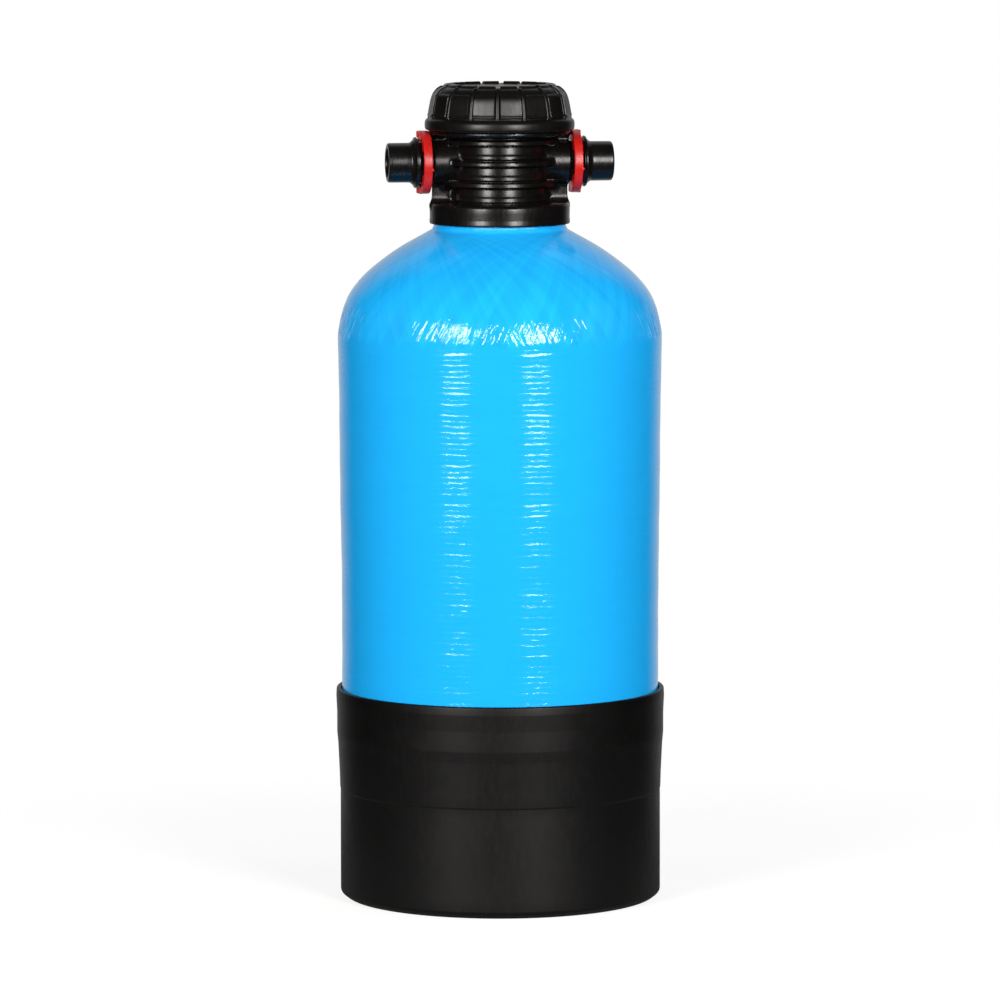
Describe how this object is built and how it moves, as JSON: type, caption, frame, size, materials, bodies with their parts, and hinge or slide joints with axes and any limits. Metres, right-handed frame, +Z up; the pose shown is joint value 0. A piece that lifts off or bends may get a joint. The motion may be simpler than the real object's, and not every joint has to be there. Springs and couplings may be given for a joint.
{
  "type": "deionization pressure vessel",
  "caption": "Filament-wound resin tank in a moulded boot, with a screwed in/out head, clipped side spigots and a ribbed screw-on filler cap.",
  "frame": {"origin": "on the tank's axis, at the underside of the boot", "axes": "+Z up the tank's axis; +X out of the outlet port, -X out of the inlet port; the clips pull off towards -Y"},
  "size_m": [0.2116, 0.2116, 0.5244],
  "materials": {
    "blue_wound_shell": "sky-blue glass-fibre winding under clear resin",
    "black_moulding": "satin black injection moulding",
    "black_boot": "black moulded boot, low sheen",
    "red_clip": "red acetal clip",
    "seal_rubber": "black nitrile",
    "natural_liner": "natural polyethylene",
    "white_internal": "white moulded plastic",
    "mixed_resin": "amber and brown ion-exchange beads"
  },
  "bodies": {
    "vessel": {"wound_shell": "blue_wound_shell", "tank_liner": "natural_liner", "neck_insert": "white_internal", "base_boot": "black_boot", "head_adapter": "black_moulding", "head_body": "black_moulding", "filler_neck": "black_moulding", "head_seal": "seal_rubber", "outlet_elbow": "white_internal", "outlet_gasket": "seal_rubber", "riser_seal": "seal_rubber", "riser_tube": "white_internal", "upper_strainer": "white_internal", "lower_strainer": "white_internal", "resin_bed": "mixed_resin"},
    "cap_seal": {"cap_seal": "seal_rubber"},
    "filler_cap": {"filler_cap": "black_moulding"},
    "inlet_spigot": {"inlet_spigot": "black_moulding", "inlet_inner_seal": "seal_rubber", "inlet_outer_seal": "seal_rubber"},
    "outlet_spigot": {"outlet_spigot": "black_moulding", "outlet_inner_seal": "seal_rubber", "outlet_outer_seal": "seal_rubber"},
    "inlet_clip": {"inlet_clip": "red_clip"},
    "outlet_clip": {"outlet_clip": "red_clip"}
  },
  "joints": [
    {"name": "cap_lift", "type": "slide", "parent": "vessel", "child": "cap_seal", "axis": [0, 0, 1], "range_m": [0, 0.0181]},
    {"name": "cap_turn", "type": "hinge", "parent": "cap_seal", "child": "filler_cap", "pos_m": [0, 0, 0.495], "axis": [0, 0, 1], "range_deg": [0, 1080]},
    {"name": "inlet_swivel", "type": "hinge", "parent": "vessel", "child": "inlet_spigot", "pos_m": [-0.05, 0, 0.4742], "axis": [-1, 0, 0], "continuous": true},
    {"name": "outlet_swivel", "type": "hinge", "parent": "vessel", "child": "outlet_spigot", "pos_m": [0.05, 0, 0.4742], "axis": [1, 0, 0], "continuous": true},
    {"name": "inlet_clip_pull", "type": "slide", "parent": "vessel", "child": "inlet_clip", "axis": [0, -1, 0], "range_m": [0, 0.03]},
    {"name": "outlet_clip_pull", "type": "slide", "parent": "vessel", "child": "outlet_clip", "axis": [0, -1, 0], "range_m": [0, 0.03]}
  ],
  "couplings": [
    {"joint": "cap_lift", "follows": "cap_turn", "m_per_rad": 0.00095493}
  ]
}
